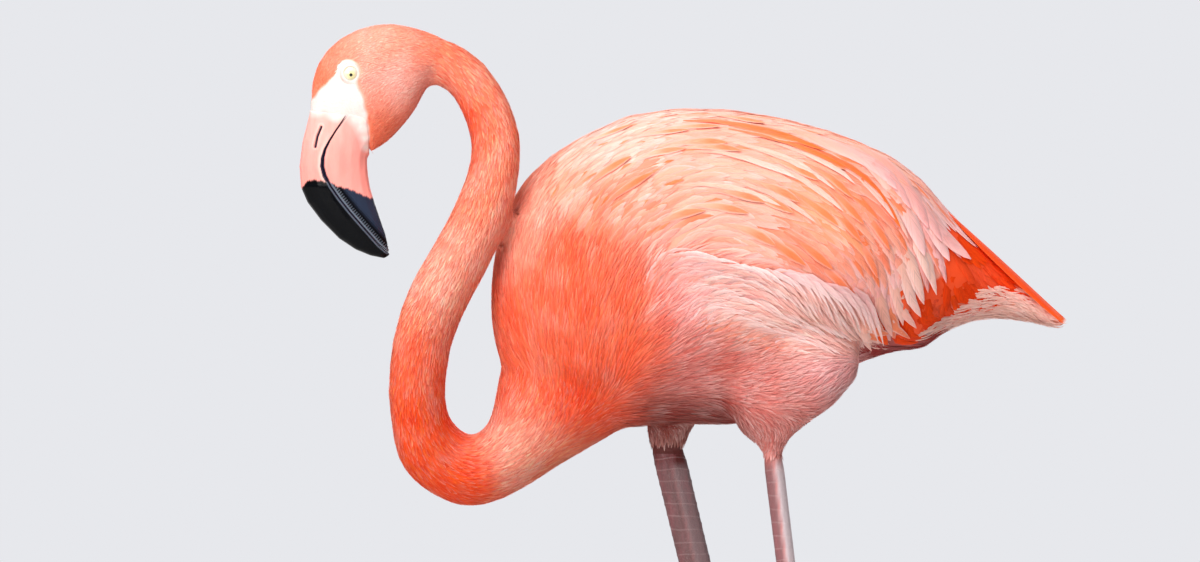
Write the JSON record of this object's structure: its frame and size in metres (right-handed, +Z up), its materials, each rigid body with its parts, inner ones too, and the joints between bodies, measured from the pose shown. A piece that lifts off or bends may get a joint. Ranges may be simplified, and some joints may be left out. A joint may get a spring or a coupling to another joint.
{
  "type": "american flamingo model",
  "caption": "Life-size still model of an adult American flamingo standing on both legs, wings folded, its neck in a low S and its head lowered beside the breast, bill down",
  "frame": {"origin": "on the floor under the centre of the bounding box", "axes": "+Z up, -X the way the bird faces, -Y its left side"},
  "size_m": [0.5742, 0.1903, 0.854],
  "materials": {
    "plumage": "soft feathers",
    "bill": "satin horn, pink at the root and black at the tip",
    "eye": "wet gloss",
    "leg_skin": "satin scaled skin",
    "claw": "dull horn"
  },
  "bodies": {
    "root": {"head": "plumage", "neck_1": "plumage", "neck_2": "plumage", "neck_3": "plumage", "neck_4": "plumage", "neck_5": "plumage", "neck_6": "plumage", "trunk": "plumage", "wing_left": "plumage", "wing_right": "plumage", "tail": "plumage", "undertail": "plumage", "thigh_left": "plumage", "thigh_right": "plumage", "bill_upper": "bill", "bill_lower": "bill", "eye_left": "eye", "eye_right": "eye", "shank_left": "leg_skin", "ankle_left": "leg_skin", "tarsus_left": "leg_skin", "foot_left": "leg_skin", "hind_toe_left": "leg_skin", "claw_inner_left": "claw", "claw_middle_left": "claw", "claw_outer_left": "claw", "shank_right": "leg_skin", "ankle_right": "leg_skin", "tarsus_right": "leg_skin", "foot_right": "leg_skin", "hind_toe_right": "leg_skin", "claw_inner_right": "claw", "claw_middle_right": "claw", "claw_outer_right": "claw"}
  },
  "joints": []
}
